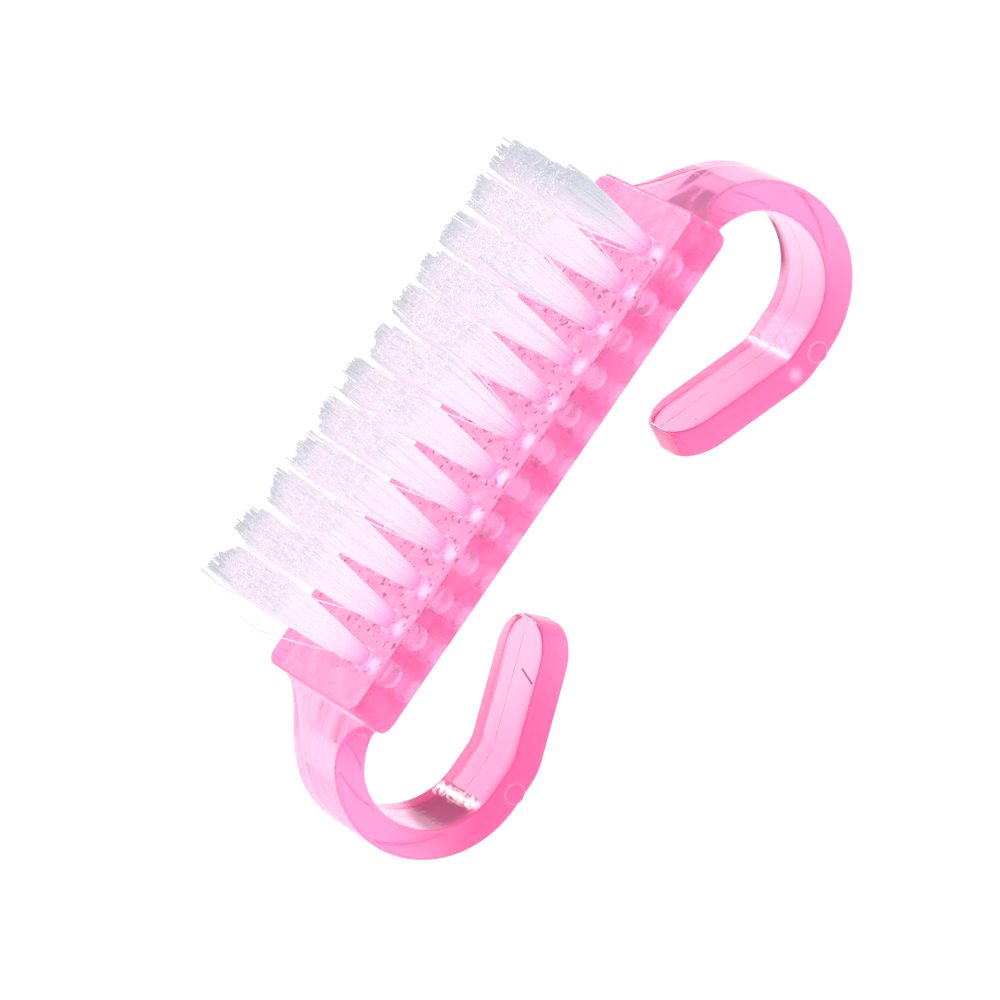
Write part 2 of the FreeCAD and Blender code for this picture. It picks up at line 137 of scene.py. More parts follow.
def new_material(name):
    """A material with a Principled shader, that shader and the material's output."""
    material = bpy.data.materials.new(name)
    material.use_nodes = True
    material.node_tree.nodes.clear()
    output = add_node(material, "ShaderNodeOutputMaterial")
    shader = add_node(material, "ShaderNodeBsdfPrincipled")
    feed(material, shader.outputs["BSDF"], output.inputs["Surface"])
    return material, shader, output


def add_node(owner, kind, **values):
    """A new node in a material or world, with its properties or its input sockets set by name."""
    node = owner.node_tree.nodes.new(kind)
    for name, content in values.items():
        if hasattr(node, name):
            setattr(node, name, content)
        else:
            node.inputs[name.replace("_", " ")].default_value = content
    return node


def feed(owner, content, socket):
    """Give a socket its content: a link from another socket, a colour, or a plain value."""
    if isinstance(content, bpy.types.NodeSocket):
        owner.node_tree.links.new(content, socket)
    elif isinstance(content, tuple):
        socket.default_value = (*content, 1)
    else:
        socket.default_value = content


def mixed_shader(owner, share, first, second):
    """The first shader where the share is 0, the second where it is 1."""
    mix = add_node(owner, "ShaderNodeMixShader")
    for socket, content in zip(mix.inputs, (share, first, second)):
        feed(owner, content, socket)
    return mix.outputs[0]


# Numbers of the colour sockets on a Mix node.
MIX_SHARE, MIX_FIRST, MIX_SECOND, MIX_RESULT = 0, 6, 7, 2


class Surface:
    """The places on one material's surface, and the sums that turn them into masks between 0 and 1."""

    def __init__(self, material):
        self.material = material
        self.place = add_node(material, "ShaderNodeTexCoord").outputs["Object"]
        split = add_node(material, "ShaderNodeSeparateXYZ")
        feed(material, self.place, split.inputs[0])
        self.x, self.y, self.z = split.outputs

    def work_out(self, operation, *values):
        node = add_node(self.material, "ShaderNodeMath", operation=operation)
        for socket, value in zip(node.inputs, values):
            feed(self.material, value, socket)
        return node.outputs[0]

    def product(self, result, *factors):
        for factor in factors:
            result = self.work_out("MULTIPLY", result, factor)
        return result

    def largest(self, result, *others):
        for other in others:
            result = self.work_out("MAXIMUM", result, other)
        return result

    def smallest(self, first, second):
        return self.work_out("MINIMUM", first, second)

    def total(self, first, second):
        return self.work_out("ADD", first, second)

    def rest(self, mask):
        """What a mask leaves over."""
        return self.work_out("SUBTRACT", 1, mask)

    def size(self, value):
        """The value without its sign."""
        return self.work_out("ABSOLUTE", value)

    def gap(self, value, target):
        """How far a value lies from the target, on either side of it."""
        return self.size(self.work_out("SUBTRACT", value, target))

    def fade(self, source, ends):
        """Full at the first of the two ends and beyond it, nothing at the second, even between them."""
        full, none = ends
        step = add_node(self.material, "ShaderNodeMapRange", From_Min=none, From_Max=full)
        feed(self.material, source, step.inputs["Value"])
        return step.outputs[0]

    def layer(self, name):
        """What the mesh holds on its faces or points under this name."""
        return add_node(self.material, "ShaderNodeAttribute", attribute_name=name).outputs["Fac"]

    def noise(self, scale, detail, place=None):
        texture = add_node(self.material, "ShaderNodeTexNoise", Scale=scale, Detail=detail)
        feed(self.material, place or self.place, texture.inputs["Vector"])
        return texture.outputs["Fac"]

    def stretched(self, scale, shift=(0, 0, 0)):
        """The place with each of its coordinates scaled, and moved after that."""
        mapping = add_node(self.material, "ShaderNodeMapping", Scale=scale, Location=shift)
        feed(self.material, self.place, mapping.inputs["Vector"])
        return mapping.outputs[0]

    def vector_sum(self, operation, first, second):
        node = add_node(self.material, "ShaderNodeVectorMath", operation=operation)
        feed(self.material, first, node.inputs[0])
        feed(self.material, second, node.inputs[1])
        return node

    def level_distance(self, x, target):
        """How far a place lies from the target as seen along Y, at the given X."""
        flat = add_node(self.material, "ShaderNodeCombineXYZ")
        feed(self.material, x, flat.inputs[0])
        feed(self.material, self.z, flat.inputs[2])
        return self.vector_sum("DISTANCE", flat.outputs[0], target).outputs["Value"]

    def mixed_colour(self, share, first, second, blend_type="MIX"):
        mix = add_node(self.material, "ShaderNodeMix", data_type="RGBA", blend_type=blend_type)
        feed(self.material, share, mix.inputs[MIX_SHARE])
        feed(self.material, first, mix.inputs[MIX_FIRST])
        feed(self.material, second, mix.inputs[MIX_SECOND])
        return mix.outputs[MIX_RESULT]

    def ramp(self, share, stops):
        """The colour at a share between the first stop and the last."""
        ramp = add_node(self.material, "ShaderNodeValToRGB")
        elements = ramp.color_ramp.elements
        while len(elements) < len(stops):
            elements.new(0.5)
        for element, (position, colour) in zip(elements, stops):
            element.position = position
            element.color = (*colour, 1)
        feed(self.material, share, ramp.inputs["Fac"])
        return ramp.outputs[0]


def new_object(name, shape, material):
    """A mesh object of a bmesh, with one material."""
    mesh = bpy.data.meshes.new(name)
    shape.to_mesh(mesh)
    shape.free()
    mesh.materials.append(material)
    item = bpy.data.objects.new(name, mesh)
    bpy.context.scene.collection.objects.link(item)
    return item


def finish_piece(name, shape, material, node):
    """Make an object of a bmesh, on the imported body, standing for the CAD node named."""
    piece = new_object(name, shape, material)
    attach(piece, BODY)
    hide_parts(node)
    return piece


def hole_centre(node):
    """The middle line of one tuft's hole, from the tuft's column and its row of anchors."""
    low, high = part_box(node)
    row_low, row_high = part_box("anchors_" + node.split("_")[1])
    return Vector(((low.x + high.x) / 2, (row_low.y + row_high.y) / 2, 0))


# Each fade of a mask is a pair: where the mask is full, and where there is nothing left of it.
RIGHT_FADE = (1 * MM, 0)
LEFT_FADE = (-1 * MM, 0)
BAR_HEIGHT_FADE = (BACK_Z + 0.2 * MM, BACK_Z - 1.2 * MM)
BAR_LENGTH_FADE = (BAR_END_X, BAR_END_X + 0.2 * MM)


class MouldingSurface(Surface):
    """The moulding's surface, with a mask for each of its parts."""

    def __init__(self, material):
        super().__init__(material)
        self.along = self.size(self.x)
        self.bore = self.layer(BORE_LAYER)
        self.inner = self.layer(INNER_LAYER)
        self.outer = self.layer(OUTER_LAYER)
        self.right = self.fade(self.x, RIGHT_FADE)
        self.left = self.fade(self.x, LEFT_FADE)
        self.in_bar = self.product(
            self.fade(self.z, BAR_HEIGHT_FADE), self.fade(self.along, BAR_LENGTH_FADE),
        )


PLASTIC_IOR, PLASTIC_OPENNESS = 1.49, 1.0
GLOW_COLOUR = (1, 0.86, 0.97)
# Dark pink of the parting line, the scratch, specks and flecks, and of the painted shade.
MARK_AND_SHADE_COLOUR = (0.36, 0.03, 0.14)


def plastic_material(settings):
    """Clear pink plastic with a little milk in it, frosted white inside the tuft holes, with painted glow
    and highlights, dark pink blemishes and painted shade.
    """
    material, clear, output = new_material("clear_pink_plastic")
    skin = MouldingSurface(material)
    clear.inputs["Base Color"].default_value = (1, 1, 1, 1)
    clear.inputs["Transmission Weight"].default_value = 1
    clear.inputs["IOR"].default_value = PLASTIC_IOR
    # Painted light: the hole walls, the rings round the pads, the spot beside the right pad and the spots in
    # front of the near tufts glow, though none of them is a lamp.
    clear.inputs["Emission Color"].default_value = (*GLOW_COLOUR, 1)
    feed(material, painted_glow_strength(skin), clear.inputs["Emission Strength"])
    bend = front_of_bends(skin)
    feed(material, ripple(skin, bend), clear.inputs["Normal"])
    feed(material, polish(skin, bend, settings), clear.inputs["Roughness"])

    body = mixed_shader(material, haze_share(skin, settings), clear.outputs[0], haze_shader(skin, settings))
    # Dark pink laid over the surface, for real blemishes and for painted shade.
    dark_pink_and_shade = add_node(material, "ShaderNodeBsdfDiffuse", Color=(*MARK_AND_SHADE_COLOUR, 1))
    marked_and_shaded = mixed_shader(material, marks_and_shade_mask(skin), body, dark_pink_and_shade.outputs[0])
    open_to_light(skin, marked_and_shaded, output, PLASTIC_OPENNESS)

    volume = add_node(material, "ShaderNodeVolumeAbsorption", Density=settings.density)
    feed(material, tuple(settings.tint), volume.inputs["Color"])
    feed(material, volume.outputs[0], output.inputs["Volume"])
    return material


# Strength of the painted glow of the hole walls at their mouth, and what is added towards their foot.
MOUTH_GLOW, FOOT_GLOW = 0.7, 0.9


def painted_glow_strength(skin):
    """Painted light: glow of the hole walls, stronger towards their foot, and of the bright rings and spots.
    """
    deep = skin.product(skin.fade(skin.z, (FOOT_Z, FACE_Z)), FOOT_GLOW)
    walls = skin.product(skin.bore, skin.total(deep, MOUTH_GLOW))
    return skin.largest(walls, painted_pad_highlights(skin), painted_hole_glints(skin))


# The round pads on the near side of the hooks, and the painted highlights: a ring round each pad and a soft
# gloss spot beside the right one.
PAD_CENTRE = Vector((22.3, 0, 0.95)) * MM
PAD_RADIUS = 0.9 * MM
RING_FADE, RING_GLOW = (0.03 * MM, 0.1 * MM), 0.35
SPOT_CENTRE = Vector((19.7, 0, 1.5)) * MM
SPOT_FADE, SPOT_GLOW = (0.1 * MM, 0.8 * MM), 0.6
NEAR_SIDE_FADE = (-4.1 * MM, -4.0 * MM)
UNDER_BAR_FADE = (BACK_Z - 2 * MM, BACK_Z - 1 * MM)


def painted_pad_highlights(skin):
    """Painted highlights: the thin bright rings round the pads and the soft spot beside the right one."""
    from_rim = skin.gap(skin.level_distance(skin.along, PAD_CENTRE), PAD_RADIUS)
    ring = skin.product(skin.fade(from_rim, RING_FADE), RING_GLOW)
    spot = skin.product(skin.fade(skin.level_distance(skin.x, SPOT_CENTRE), SPOT_FADE), SPOT_GLOW)
    near_side = skin.fade(skin.y, NEAR_SIDE_FADE)
    return skin.product(skin.largest(ring, spot), near_side, skin.fade(skin.z, UNDER_BAR_FADE))


# The painted bright spot in front of each tuft of the near row, measured from the middle of its hole along
# the bar.
GLINT_SHIFT, GLINT_Y = -0.1 * MM, -6.85 * MM
GLINT_FADE, GLINT_GLOW = (0.3 * MM, 1.05 * MM), 0.75
GLINT_LENGTH_FADE = (22 * MM, 22.3 * MM)
FACE_SKIN = 0.03 * MM


def painted_hole_glints(skin):
    """A painted highlight: the soft bright spot in front of each tuft of the near row, where light leaves
    its hole.
    """
    first, second = hole_centre(TUFT_NODES[0]), hole_centre(TUFT_NODES[1])
    half_pitch = (second.x - first.x) / 2
    from_first = skin.work_out("SUBTRACT", skin.x, first.x + GLINT_SHIFT)
    along = skin.size(skin.work_out("WRAP", from_first, half_pitch, -half_pitch))
    across = skin.gap(skin.y, GLINT_Y)
    square = skin.total(skin.work_out("POWER", along, 2), skin.work_out("POWER", across, 2))
    spot = skin.fade(skin.work_out("SQRT", square), GLINT_FADE)
    on_face = skin.work_out("GREATER_THAN", skin.z, FACE_Z - FACE_SKIN)
    return skin.product(spot, on_face, skin.fade(skin.along, GLINT_LENGTH_FADE), GLINT_GLOW)


BEND_HEIGHT_FADE = (4.5 * MM, 5.5 * MM)
BEND_ROUGHNESS = 0.2
RIPPLE_SCALE, RIPPLE_DETAIL, RIPPLE_HEIGHT = 1900.0, 3.0, 0.03 * MM


def front_of_bends(skin):
    """The inner skins where the hooks bend, seen from outside the plastic only."""
    behind = add_node(skin.material, "ShaderNodeNewGeometry").outputs["Backfacing"]
    return skin.product(skin.inner, skin.fade(skin.z, BEND_HEIGHT_FADE), skin.rest(behind))


def ripple(skin, bend):
    """A faint unevenness of the bends, which breaks up the bright bands in them."""
    bump = add_node(skin.material, "ShaderNodeBump", Strength=1.0, Distance=RIPPLE_HEIGHT)
    height = skin.product(skin.noise(RIPPLE_SCALE, RIPPLE_DETAIL), bend)
    feed(skin.material, height, bump.inputs["Height"])
    return bump.outputs["Normal"]


def polish(skin, bend, settings):
    """Roughness: the mould's polish, and duller on the right hook's bend."""
    dull = skin.product(bend, skin.right, BEND_ROUGHNESS)
    return skin.total(settings.roughness, dull)


LET_THROUGH_SHARE = 0.5
HOLE_COLOUR = (1, 0.93, 0.98)
CURVE_COLOUR = (1, 0.66, 0.92)
BAR_COLOUR = (1, 0.4, 0.68)
OUTER_COLOUR = (1, 0.74, 0.93)
CURVE_LENGTH_FADE = (30 * MM, 25 * MM)
CURVE_HEIGHT_FADE = (6 * MM, 2 * MM)


def haze_shader(skin, settings):
    """The milk in the plastic, which scatters as much light back as it lets through."""
    colour = skin.mixed_colour(skin.bore, hook_haze_colour(skin, settings), HOLE_COLOUR)
    front = add_node(skin.material, "ShaderNodeBsdfDiffuse")
    behind = add_node(skin.material, "ShaderNodeBsdfTranslucent")
    feed(skin.material, colour, front.inputs["Color"])
    feed(skin.material, colour, behind.inputs["Color"])
    return mixed_shader(skin.material, LET_THROUGH_SHARE, front.outputs[0], behind.outputs[0])


def hook_haze_colour(skin, settings):
    """Deep pink in the arms, orchid in the curves, soft pink in the bar and pale lilac on the outer skin."""
    curve = skin.product(skin.fade(skin.along, CURVE_LENGTH_FADE), skin.fade(skin.z, CURVE_HEIGHT_FADE))
    colour = skin.mixed_colour(curve, tuple(settings.milk_colour), CURVE_COLOUR)
    colour = skin.mixed_colour(skin.in_bar, colour, BAR_COLOUR)
    return skin.mixed_colour(skin.outer, colour, OUTER_COLOUR)


CLOUD_SCALE, CLOUD_DETAIL = 650.0, 4.0
CLOUD_FADE, CLOUD_SHARE = (0.7, 0.35), 0.4
HOLE_SHARE = 0.85
INNER_CLEARNESS = 0.8
NEAR_BORDER_FADE = (-2.7 * MM, -3.85 * MM)
FAR_BORDER_FADE = (3.5 * MM, 3.95 * MM)


def haze_share(skin, settings):
    """How much of the surface looks milky: clouds in the bar, and least inside the hooks' inner skins."""
    clouds = skin.product(skin.fade(skin.noise(CLOUD_SCALE, CLOUD_DETAIL), CLOUD_FADE), CLOUD_SHARE)
    share = skin.total(settings.milk, skin.product(clouds, skin.in_bar))
    share = skin.largest(share, skin.product(skin.bore, HOLE_SHARE), pale_root(skin))
    share = skin.total(share, deep_flank(skin))
    border = skin.smallest(skin.fade(skin.y, NEAR_BORDER_FADE), skin.fade(skin.y, FAR_BORDER_FADE))
    return skin.product(share, skin.rest(skin.product(skin.inner, border, INNER_CLEARNESS)))


ROOT_STRETCH, ROOT_DETAIL = (60, 900, 60), 2.0
ROOT_STREAK_FADE, ROOT_SHARE = (0.7, 0.2), 0.85
ROOT_HEIGHT_FADE = (11 * MM, 5 * MM)


def pale_root(skin):
    """Haze on the outer skin where the left hook leaves the bar, in soft streaks along the hook."""
    streaks = skin.noise(1.0, ROOT_DETAIL, skin.stretched(ROOT_STRETCH))
    high = skin.fade(skin.z, ROOT_HEIGHT_FADE)
    return skin.product(skin.fade(streaks, ROOT_STREAK_FADE), ROOT_SHARE, skin.outer, skin.left, high)


ARM_LENGTH_FADE = (23 * MM, 27 * MM)
ARM_HEIGHT_FADE, ARM_SHARE = (6 * MM, 9 * MM), 0.21
BOTTOM_LENGTH_FADE = (-14 * MM, -9 * MM)
BOTTOM_HEIGHT_FADE, BOTTOM_SHARE = (2.5 * MM, 6 * MM), 0.4


def deep_flank(skin):
    """Haze on the right arm's sides and the left hook's bottom, where the plastic looks thickest."""
    arm = skin.product(
        skin.fade(skin.x, ARM_LENGTH_FADE), skin.right, skin.fade(skin.z, ARM_HEIGHT_FADE), ARM_SHARE,
    )
    bottom = skin.product(
        skin.fade(skin.x, BOTTOM_LENGTH_FADE), skin.fade(skin.z, BOTTOM_HEIGHT_FADE), BOTTOM_SHARE,
    )
    flank = skin.rest(skin.largest(skin.in_bar, skin.outer))
    return skin.product(skin.largest(arm, bottom), flank)


UNEVEN_SCALE, UNEVEN_DETAIL = 420.0, 3.0


def marks_and_shade_mask(skin):
    """Share of dark pink: the parting line and the scratch on the inner skins, specks and flecks, and
    painted shade in the dark reflection on the right hook and round the anchors.
    """
    uneven = skin.noise(UNEVEN_SCALE, UNEVEN_DETAIL)
    seen = add_node(skin.material, "ShaderNodeLightPath").outputs["Is Camera Ray"]
    on_inner = skin.largest(parting_line(skin, uneven), painted_dark_reflection(skin), scratch(skin))
    on_inner = skin.product(on_inner, skin.inner, seen)
    return skin.largest(on_inner, specks(skin), face_flecks(skin), anchor_shadows(skin, uneven))


LINE_WIDTH_FADE, LINE_SHARE = (0.02 * MM, 0.07 * MM), 0.55
LINE_BREAK_FADE = (0.5, 0.35)


def parting_line(skin, uneven):
    """The broken line that the two halves of the mould leave along the middle of the hooks."""
    line = skin.fade(skin.size(skin.y), LINE_WIDTH_FADE)
    return skin.product(line, skin.fade(uneven, LINE_BREAK_FADE), LINE_SHARE)


# Where the painted dark reflection lies on the right hook's inner skin.
STREAK_Y_FADE, STREAK_X_FADE = (3.4 * MM, 2.6 * MM), (26 * MM, 25 * MM)
STREAK_Z, STREAK_Z_FADE = 5.6 * MM, (1.4 * MM, 2.4 * MM)
STREAK_SHARE = 0.75


def painted_dark_reflection(skin):
    """A painted dark reflection along the far border of the right hook's inner skin."""
    border = skin.product(skin.fade(skin.y, STREAK_Y_FADE), skin.fade(skin.x, STREAK_X_FADE))
    return skin.product(border, skin.fade(skin.gap(skin.z, STREAK_Z), STREAK_Z_FADE), STREAK_SHARE)


SCRATCH_START = Vector((-13.33, -1.14, 0)) * MM
SCRATCH_END = Vector((-14.06, -3.63, 0)) * MM
SCRATCH_END_SHARES = (0.45, 0.5)
SCRATCH_WIDTH_FADE, SCRATCH_SHARE = (0.07 * MM, 0.13 * MM), 0.75


def scratch(skin):
    """The short scratch on the inner skin of the left arm."""
    length = (SCRATCH_END - SCRATCH_START).length
    along = (SCRATCH_END - SCRATCH_START).normalized()
    across = Vector((-along.y, along.x, 0))
    offset = skin.vector_sum("SUBTRACT", skin.place, SCRATCH_START).outputs[0]
    reach = skin.vector_sum("DOT_PRODUCT", offset, along).outputs["Value"]
    aside = skin.vector_sum("DOT_PRODUCT", offset, across).outputs["Value"]
    end_fade = tuple(length * share for share in SCRATCH_END_SHARES)
    inside = skin.fade(skin.gap(reach, length / 2), end_fade)
    return skin.product(inside, skin.fade(skin.size(aside), SCRATCH_WIDTH_FADE), SCRATCH_SHARE)


SPECK_SCALE, SPECK_FADE, SPECK_SHARE = 330.0, (0.02, 0.035), 0.8
EMPTY_CELLS_SHARE = 0.6


def specks(skin):
    """Small specks of dirt, one in each of the chosen cells."""
    cells = add_node(skin.material, "ShaderNodeTexVoronoi", Scale=SPECK_SCALE)
    feed(skin.material, skin.place, cells.inputs["Vector"])
    draw = add_node(skin.material, "ShaderNodeSeparateColor")
    feed(skin.material, cells.outputs["Color"], draw.inputs[0])
    chosen = skin.work_out("GREATER_THAN", draw.outputs[0], EMPTY_CELLS_SHARE)
    return skin.product(skin.fade(cells.outputs["Distance"], SPECK_FADE), chosen, SPECK_SHARE)


FLECK_SCALE, FLECK_DETAIL = 1500.0, 2.0
FLECK_FADE, FLECK_SHARE = (0.66, 0.61), 0.6
FLECK_HEIGHT_FADE = (FACE_Z - 0.02 * MM, FACE_Z - 0.1 * MM)
FLECK_LENGTH_FADE = (20.5 * MM, 22.5 * MM)


def face_flecks(skin):
    """Small dark flecks on the bristle face, between the tufts."""
    flecks = skin.fade(skin.noise(FLECK_SCALE, FLECK_DETAIL), FLECK_FADE)
    on_face = skin.fade(skin.z, FLECK_HEIGHT_FADE)
    return skin.product(flecks, on_face, skin.fade(skin.along, FLECK_LENGTH_FADE), FLECK_SHARE)


SHADOW_HEIGHT_FADE = (0.3 * MM, 0.55 * MM)
SHADOW_BREAK_FADE, SHADOW_SHARE = (0.56, 0.46), 0.5


def anchor_shadows(skin, uneven):
    """Painted shade: dark patches on the hole walls at the height of the anchors."""
    level = skin.gap(skin.z, (ANCHOR_LOW.z + ANCHOR_HIGH.z) / 2)
    patches = skin.fade(uneven, SHADOW_BREAK_FADE)
    return skin.product(skin.bore, skin.fade(level, SHADOW_HEIGHT_FADE), patches, SHADOW_SHARE)


def open_to_light(surface, shader, output, share):
    """Let a share of the light that goes to other surfaces straight through this one."""
    clear = add_node(surface.material, "ShaderNodeBsdfTransparent")
    path = add_node(surface.material, "ShaderNodeLightPath")
    either = surface.largest(path.outputs["Is Shadow Ray"], path.outputs["Is Diffuse Ray"])
    mix = mixed_shader(surface.material, surface.product(either, share), shader, clear.outputs[0])
    feed(surface.material, mix, output.inputs["Surface"])


METAL_COLOUR = (0.42, 0.4, 0.42)
METAL_ROUGHNESS = 0.35


def metal_material():
    """Grey stamped metal, a little dull."""
    material, shader, _ = new_material("stamped_anchor_metal")
    shader.inputs["Metallic"].default_value = 1
    shader.inputs["Base Color"].default_value = (*METAL_COLOUR, 1)
    shader.inputs["Roughness"].default_value = METAL_ROUGHNESS
    return material


NYLON_IOR, NYLON_ROUGHNESS, NYLON_OPENNESS = 1.53, 0.3, 0.85
# Painted light on the filaments, by the share of the way from the face to the cut ends: painted pink light
# from the plastic near the face, fading to pale lilac towards the cut ends.
NYLON_SHADING_STOPS = (
    (0.0, (0.98, 0.4, 0.73)), (0.1, (0.98, 0.58, 0.84)), (0.24, (0.97, 0.75, 0.91)),
    (0.5, (0.94, 0.83, 0.94)), (0.82, (0.92, 0.82, 0.92)), (1.0, (0.9, 0.78, 0.88)),
)
# Shades of single filaments, by the tone drawn for each.
TONE_STOPS = (
    (0.0, (0.82, 0.86, 0.9)), (0.15, (0.93, 0.93, 0.95)), (0.5, (0.98, 0.97, 0.99)), (1.0, (1, 1, 1)),
)
# Painted shade: the grey of the cut ends of the far row and of the rightmost tufts.
TIP_SHADE_COLOUR = (0.61, 0.65, 0.71)
FAR_ROW_FADE, FAR_TIP_SHARES = (5.6 * MM, 3.4 * MM), (1.0, 0.62)
END_TUFT_FADE, END_TIP_SHARES, END_TIP_SHADE_SHARE = (21 * MM, 18.5 * MM), (0.6, 0.15), 0.85


def nylon_material():
    """Nylon that glows with the light round it, with painted pink light at the root and painted grey shade
    at the cut ends of the far row and the rightmost tufts.
    """
    material, shader, output = new_material("clear_nylon_filament")
    nylon = Surface(material)
    height = nylon.fade(nylon.z, (CUT_Z, FACE_Z))
    # Painted grey shade on the cut ends of the far row and of the rightmost tufts.
    far = nylon.product(nylon.fade(nylon.y, FAR_ROW_FADE), nylon.fade(height, FAR_TIP_SHARES))
    end = nylon.product(
        nylon.fade(nylon.x, END_TUFT_FADE), END_TIP_SHADE_SHARE, nylon.fade(height, END_TIP_SHARES),
    )
    body = nylon.mixed_colour(nylon.largest(far, end), nylon.ramp(height, NYLON_SHADING_STOPS), TIP_SHADE_COLOUR)
    tone = nylon.ramp(nylon.layer(TONE_LAYER), TONE_STOPS)
    colour = nylon.mixed_colour(1, body, tone, blend_type="MULTIPLY")
    feed(material, colour, shader.inputs["Base Color"])
    shader.inputs["Roughness"].default_value = NYLON_ROUGHNESS
    shader.inputs["IOR"].default_value = NYLON_IOR
    open_to_light(nylon, shader.outputs[0], output, NYLON_OPENNESS)
    return material


MERGE_DISTANCE = 0.001 * MM
SHARP_ANGLE = math.radians(28)
HOLE_REACH = 1.15 * MM
HOLE_FLOOR_SLACK = 0.1 * MM
LEVEL_LIMIT = 0.3
OUTER_DROP = 1 * MM


def mark_parts(shape):
    """Write the layers that tell the hole walls and the hooks' inner and outer skins from the rest."""
    bore = shape.faces.layers.float.new(BORE_LAYER)
    inner = shape.faces.layers.float.new(INNER_LAYER)
    outer = shape.faces.layers.float.new(OUTER_LAYER)
    centres = [hole_centre(node) for node in TUFT_NODES]
    for face in shape.faces:
        middle = face.calc_center_median()
        if FOOT_Z - HOLE_FLOOR_SLACK < middle.z < FACE_Z - MERGE_DISTANCE:
            near = min((middle.xy - centre.xy).length for centre in centres)
            face[bore] = float(near < HOLE_REACH)
        curve_centre = Vector((math.copysign(HOOK_X, middle.x), 0, HOOK_Z))
        level = abs(face.normal.y) < LEVEL_LIMIT
        inward = face.normal.dot(curve_centre - middle) > 0
        off_bar = abs(middle.x) > BAR_END_X or middle.z < BACK_Z - OUTER_DROP
        face[inner] = float(level and inward and middle.z < BACK_Z)
        face[outer] = float(level and not inward and off_bar)


def smooth_moulding(settings):
    """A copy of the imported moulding, merged and smoothed so that its curves look through cleanly."""
    shape = bmesh.new()
    shape.from_mesh(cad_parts[MOULDING_NODE].data)
    bmesh.ops.remove_doubles(shape, verts=shape.verts, dist=MERGE_DISTANCE)
    mark_parts(shape)
    for face in shape.faces:
        face.smooth = True
    for edge in shape.edges:
        edge.smooth = len(edge.link_faces) == 2 and edge.calc_face_angle(0) < SHARP_ANGLE
    piece = finish_piece("moulding", shape, plastic_material(settings), MOULDING_NODE)
    even = piece.modifiers.new("even_shading", "WEIGHTED_NORMAL")
    even.keep_sharp = True
    even.weight = 100
    return piece


FILAMENT_SIDES = 5
FOLD_POINTS = 5


def strand_template(rings):
    """A straight closed tube whose rings lie one unit apart: one filament before it is bent."""
    tube = bmesh.new()
    length = rings - 1
    bmesh.ops.create_cone(
        tube, cap_ends=True, segments=FILAMENT_SIDES, radius1=1, radius2=1, depth=length,
        matrix=Matrix.Translation((0, 0, length / 2)),
    )
    upright = [edge for edge in tube.edges if edge.verts[0].co.z != edge.verts[1].co.z]
    bmesh.ops.subdivide_edges(tube, edges=upright, cuts=rings - 2)
    for face in tube.faces:
        face.smooth = len(face.verts) == 4
    mesh = bpy.data.meshes.new("strand_template")
    tube.to_mesh(mesh)
    tube.free()
    return mesh


CLOSEST_LEGS = 1.75
TRIES_BEFORE_CLOSER, CLOSER_SHARE = 400, 0.96


def leg_places(draw, count, radius, half_gap, filament):
    """Places in the far half of a hole for the first legs of the folded filaments, well apart."""
    places = []
    tries = 0
    least = CLOSEST_LEGS * filament
    while len(places) < count:
        tries += 1
        if tries % TRIES_BEFORE_CLOSER == 0:
            least *= CLOSER_SHARE
        x = draw.uniform(-radius, radius)
        y = draw.uniform(half_gap, radius)
        in_hole = x * x + y * y < radius * radius
        if in_hole and all((x - a) ** 2 + (y - b) ** 2 > least * least for a, b in places):
            places.append((x, y))
    return places


HOLE_RADIUS = 0.86 * MM
END_TUFT_X = hole_centre(TUFT_NODES[-1]).x
NEAR_ROW_Y = hole_centre(TUFT_NODES[0]).y
# Points of a free end, as shares of its height and of its spread, from the cut tip down.
FREE_SHARES = (1.0, 0.8, 0.6, 0.4, 0.2, 0.04)
SPREAD_SHARES = (0.92, 1.0, 0.8, 0.55, 0.28, 0.05)
SQUARENESS = 0.45
TIP_WANDER = 0.05 * MM
BOW_WANDER = 0.07 * MM
# Filaments of a bundle cling together in clumps, which drift apart and end at heights of their own.
CLUMP_COUNT, CLUMP_PULL = 11, 0.12
CLUMP_DRIFT, CLUMP_LIFT = 0.1 * MM, 0.26 * MM
LOWEST_LIFT, HIGHEST_LIFT = -0.6 * MM, 0.5 * MM
# Bundles lean along the bar, less at the right end, and away from its middle line.
LEAN_MIDDLE, LEAN_CHANGE, LEAN_WANDER = 0.18 * MM, 0.15 * MM, 0.1 * MM
ROW_LEAN, ROW_LEAN_WANDER = 0.35 * MM, 0.08 * MM
SLOPE_ALONG_WANDER, SLOPE_ACROSS_WANDER = 0.13, 0.06
# The cut: how far its middle lies below the longest tips, its own raggedness and its rounded rim.
CUT_DROP, CUT_WANDER = 0.85 * MM, 0.1 * MM
RIM_DROP, RIM_START_SHARE = 0.35 * MM, 0.55
SHORT_CHANCE, LEAST_SHORTER, MOST_SHORTER = 0.07, 0.3 * MM, 1.6 * MM
STRAY_CHANCE, STRAY_ALONG, STRAY_ACROSS = 0.03, 0.9 * MM, 0.5 * MM

Bundle = namedtuple("Bundle", "clumps widen lean slope")


def draw_bundle(draw, centre, hole, settings):
    """What the filaments of one bundle share: its clumps, widening and lean, and the slope of its cut."""
    clumps = []
    for _ in range(CLUMP_COUNT):
        angle, reach = draw.uniform(0, math.tau), math.sqrt(draw.random()) * hole
        clumps.append((
            reach * math.cos(angle), reach * math.sin(angle),
            draw.gauss(0, CLUMP_DRIFT), draw.gauss(0, CLUMP_DRIFT), draw.gauss(0, CLUMP_LIFT),
        ))
    lean_x = LEAN_MIDDLE - LEAN_CHANGE * centre.x / END_TUFT_X + draw.gauss(0, LEAN_WANDER)
    lean_y = ROW_LEAN * centre.y / abs(NEAR_ROW_Y) + draw.gauss(0, ROW_LEAN_WANDER)
    slope = (draw.gauss(0, SLOPE_ALONG_WANDER), draw.gauss(0, SLOPE_ACROSS_WANDER))
    return Bundle(clumps, (settings.spread / hole, settings.depth / hole), (lean_x, lean_y), slope)


